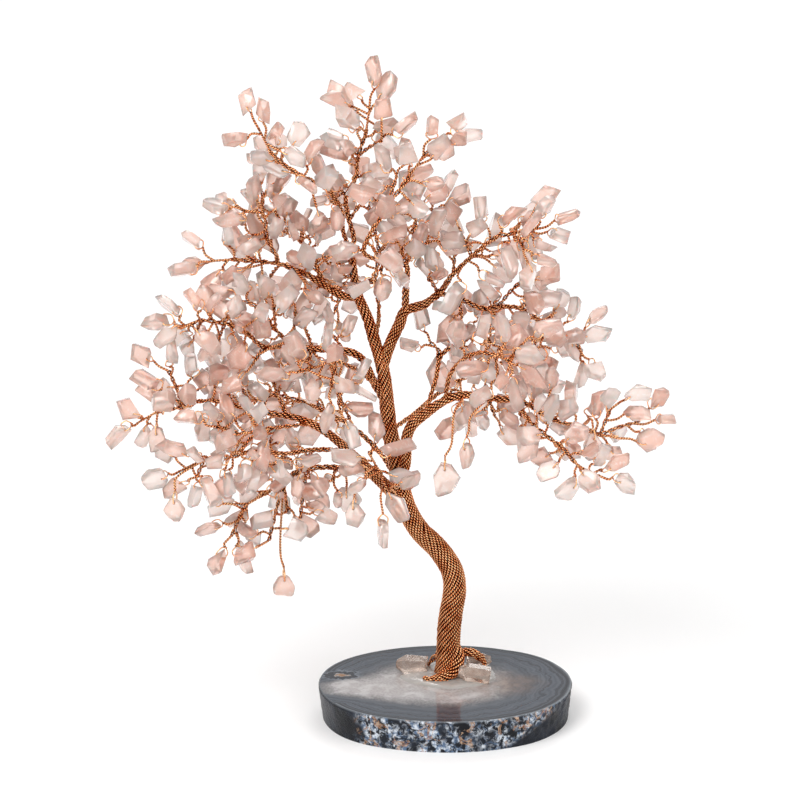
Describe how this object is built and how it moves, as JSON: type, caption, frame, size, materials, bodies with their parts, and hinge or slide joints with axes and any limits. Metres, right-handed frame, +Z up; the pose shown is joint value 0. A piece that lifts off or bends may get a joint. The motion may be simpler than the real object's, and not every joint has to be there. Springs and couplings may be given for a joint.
{
  "type": "gemstone tree ornament",
  "caption": "Twisted copper wire tree on a polished agate slice, its boughs ending in drilled rose quartz chips, some of which swing on wire loops.",
  "frame": {"origin": "centre of the agate slice's flat underside, on the surface that the ornament stands on", "axes": "+Z up the tree, +X to the right and +Y to the back as seen from the front"},
  "size_m": [0.1909, 0.0983, 0.2273],
  "materials": {
    "agate": "polished, with a broken natural rim",
    "copper_wire": "bright drawn copper wire, twisted",
    "rose_quartz": "tumbled and polished, translucent",
    "clear_quartz": "natural crystal faces, translucent",
    "resin": "clear set resin"
  },
  "bodies": {
    "tree": {"agate_slice": "agate", "back_high_chips": "rose_quartz", "back_high_wires": "copper_wire", "back_left_chips": "rose_quartz", "back_left_wires": "copper_wire", "back_right_chips": "rose_quartz", "back_right_wires": "copper_wire", "crest_left_chips": "rose_quartz", "crest_left_wires": "copper_wire", "crest_right_chips": "rose_quartz", "crest_right_wires": "copper_wire", "crest_top_chips": "rose_quartz", "crest_top_wires": "copper_wire", "front_spur_chips": "rose_quartz", "front_spur_wires": "copper_wire", "leader": "copper_wire", "left_droop_chips": "rose_quartz", "left_droop_wires": "copper_wire", "left_fore_chips": "rose_quartz", "left_fore_wires": "copper_wire", "left_high_chips": "rose_quartz", "left_high_wires": "copper_wire", "left_low_chips": "rose_quartz", "left_low_wires": "copper_wire", "left_mid_chips": "rose_quartz", "left_mid_wires": "copper_wire", "left_shelf_chips": "rose_quartz", "left_shelf_wires": "copper_wire", "left_skirt_chips": "rose_quartz", "left_skirt_wires": "copper_wire", "quartz_back": "clear_quartz", "quartz_left": "clear_quartz", "quartz_right": "clear_quartz", "resin_pool": "resin", "right_droop_chips": "rose_quartz", "right_droop_wires": "copper_wire", "right_fore_chips": "rose_quartz", "right_fore_wires": "copper_wire", "right_high_chips": "rose_quartz", "right_high_wires": "copper_wire", "right_inner_chips": "rose_quartz", "right_inner_wires": "copper_wire", "right_low_chips": "rose_quartz", "right_low_wires": "copper_wire", "right_mid_chips": "rose_quartz", "right_mid_wires": "copper_wire", "root_back": "copper_wire", "root_front": "copper_wire", "root_right": "copper_wire", "trunk": "copper_wire"},
    "pendant_trunk": {"pendant_trunk": "rose_quartz"},
    "pendant_collar": {"pendant_collar": "rose_quartz"},
    "pendant_lowest": {"pendant_lowest": "rose_quartz"},
    "pendant_centre": {"pendant_centre": "rose_quartz"},
    "pendant_inner": {"pendant_inner": "rose_quartz"},
    "pendant_left": {"pendant_left": "rose_quartz"},
    "pendant_right": {"pendant_right": "rose_quartz"},
    "pendant_tip": {"pendant_tip": "rose_quartz"}
  },
  "joints": [
    {"name": "swing_trunk", "type": "hinge", "parent": "tree", "child": "pendant_trunk", "pos_m": [-0.02068, -0.0118, 0.0712], "axis": [0.9397, 0.342, 0], "range_deg": [-25, 25]},
    {"name": "swing_collar", "type": "hinge", "parent": "tree", "child": "pendant_collar", "pos_m": [-0.03025, -0.01444, 0.07826], "axis": [0.2588, 0.9659, 0], "range_deg": [-25, 25]},
    {"name": "swing_lowest", "type": "hinge", "parent": "tree", "child": "pendant_lowest", "pos_m": [-0.0539, 0.00536, 0.04623], "axis": [-0.1736, 0.9848, 0], "range_deg": [-25, 25]},
    {"name": "swing_centre", "type": "hinge", "parent": "tree", "child": "pendant_centre", "pos_m": [0, -0.00982, 0.0904], "axis": [0.0872, 0.9962, 0], "range_deg": [-25, 25]},
    {"name": "swing_inner", "type": "hinge", "parent": "tree", "child": "pendant_inner", "pos_m": [0.00715, -0.00652, 0.09645], "axis": [0.5736, 0.8192, 0], "range_deg": [-25, 25]},
    {"name": "swing_left", "type": "hinge", "parent": "tree", "child": "pendant_left", "pos_m": [-0.08987, -0.01708, 0.0811], "axis": [0.342, 0.9397, 0], "range_deg": [-25, 25]},
    {"name": "swing_right", "type": "hinge", "parent": "tree", "child": "pendant_right", "pos_m": [0.04917, -0.01378, 0.10223], "axis": [-0.342, 0.9397, 0], "range_deg": [-25, 25]},
    {"name": "swing_tip", "type": "hinge", "parent": "tree", "child": "pendant_tip", "pos_m": [-0.09592, -0.01246, 0.1037], "axis": [0.1736, 0.9848, 0], "range_deg": [-25, 25]}
  ]
}
